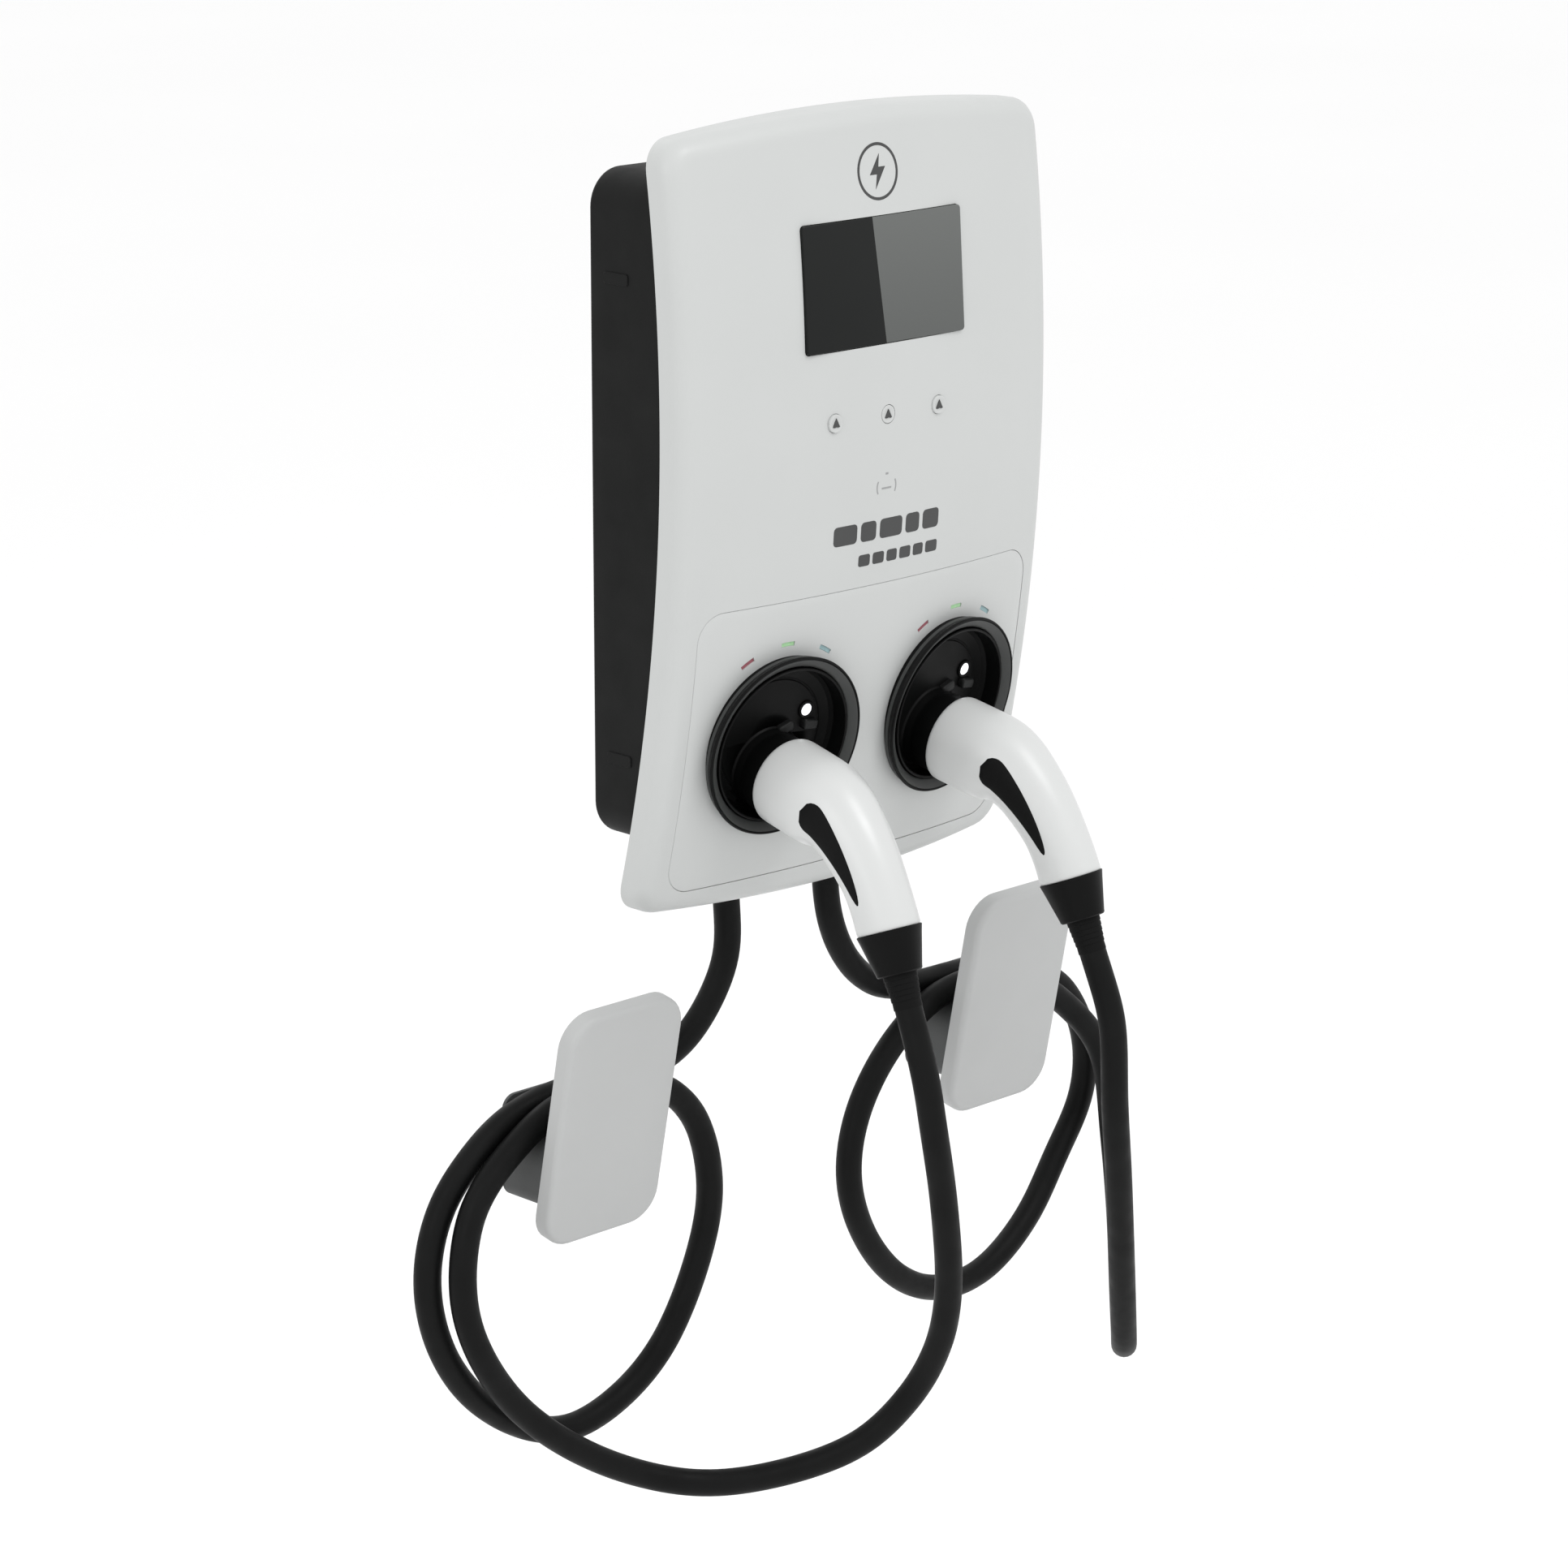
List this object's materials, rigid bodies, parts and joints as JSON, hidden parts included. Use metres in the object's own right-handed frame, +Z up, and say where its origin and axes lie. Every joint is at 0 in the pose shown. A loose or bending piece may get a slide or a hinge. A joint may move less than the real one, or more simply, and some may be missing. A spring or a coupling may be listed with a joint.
{
  "type": "electric vehicle charging station",
  "caption": "Wall-mounted twin charging station: black housing, bowed light cover, display, buttons, round holsters with plug-in guns, looped cables on wall hooks.",
  "frame": {"origin": "centre of the four wall holes, on the wall plane at the back of the wall bracket", "axes": "+X to the right, +Y into the wall, +Z up; the front faces -Y"},
  "size_m": [0.7466, 0.2772, 1.0493],
  "materials": {
    "zinc": "zinc plated",
    "housing": "fine grain",
    "rubber": "matt",
    "cover": "satin",
    "glass": "gloss",
    "black": "fine grain",
    "screen": "gloss",
    "board": "solder mask",
    "light": "translucent",
    "bezel": "satin",
    "device": "satin",
    "device_light": "satin",
    "button": "satin",
    "contact": "silver plated",
    "gun": "satin",
    "hook_plate": "satin",
    "hook_arm": "fine grain",
    "cable": "satin sheath"
  },
  "bodies": {
    "charger": {"wall_bracket": "zinc", "rear_housing": "housing", "housing_gasket": "rubber", "front_cover": "cover", "lower_panel": "cover", "display_glass": "glass", "display_frame": "black", "display_module": "screen", "button_board": "board", "rfid_reader": "board", "light_guides_left": "light", "light_guides_right": "light", "holster_cup_left": "black", "holster_cup_right": "black", "bezel_ring_left": "bezel", "bezel_ring_right": "bezel", "lamp_left": "light", "lamp_right": "light", "cable_gland_left": "black", "cable_gland_right": "black", "supply_gland": "black", "din_rails": "zinc", "contactor_left": "device", "contactor_right": "device", "energy_meter": "device_light", "terminal_block": "device_light", "power_supply": "device", "controller_unit": "device", "cover_screws": "zinc", "hook_left_base": "hook_arm", "hook_left_arm": "hook_arm", "hook_left_plate": "hook_plate", "hook_right_base": "hook_arm", "hook_right_arm": "hook_arm", "hook_right_plate": "hook_plate", "cable_left": "cable", "cable_right": "cable"},
    "button_left": {"button_left": "button"},
    "button_mid": {"button_mid": "button"},
    "button_right": {"button_right": "button"},
    "gun_left": {"gun_left_nose": "black", "gun_left_insert": "black", "gun_left_contacts": "contact", "gun_left_shell": "gun", "gun_left_grip": "rubber", "gun_left_collar": "black", "gun_left_boot": "rubber"},
    "gun_right": {"gun_right_nose": "black", "gun_right_insert": "black", "gun_right_contacts": "contact", "gun_right_shell": "gun", "gun_right_grip": "rubber", "gun_right_collar": "black", "gun_right_boot": "rubber"}
  },
  "joints": [
    {"name": "button_left_press", "type": "slide", "parent": "charger", "child": "button_left", "axis": [0, 1, 0], "range_m": [0, 0.0014], "stiffness_N_per_m": 800, "springref_m": -0.0015},
    {"name": "button_mid_press", "type": "slide", "parent": "charger", "child": "button_mid", "axis": [0, 1, 0], "range_m": [0, 0.0014], "stiffness_N_per_m": 800, "springref_m": -0.0015},
    {"name": "button_right_press", "type": "slide", "parent": "charger", "child": "button_right", "axis": [0, 1, 0], "range_m": [0, 0.0014], "stiffness_N_per_m": 800, "springref_m": -0.0015},
    {"name": "gun_left_slide", "type": "slide", "parent": "charger", "child": "gun_left", "axis": [-0.0767, -0.9751, -0.2079], "range_m": [0, 0.08], "deforming": ["cable_left"]},
    {"name": "gun_right_slide", "type": "slide", "parent": "charger", "child": "gun_right", "axis": [0.0767, -0.9751, -0.2079], "range_m": [0, 0.08], "deforming": ["cable_right"]}
  ]
}
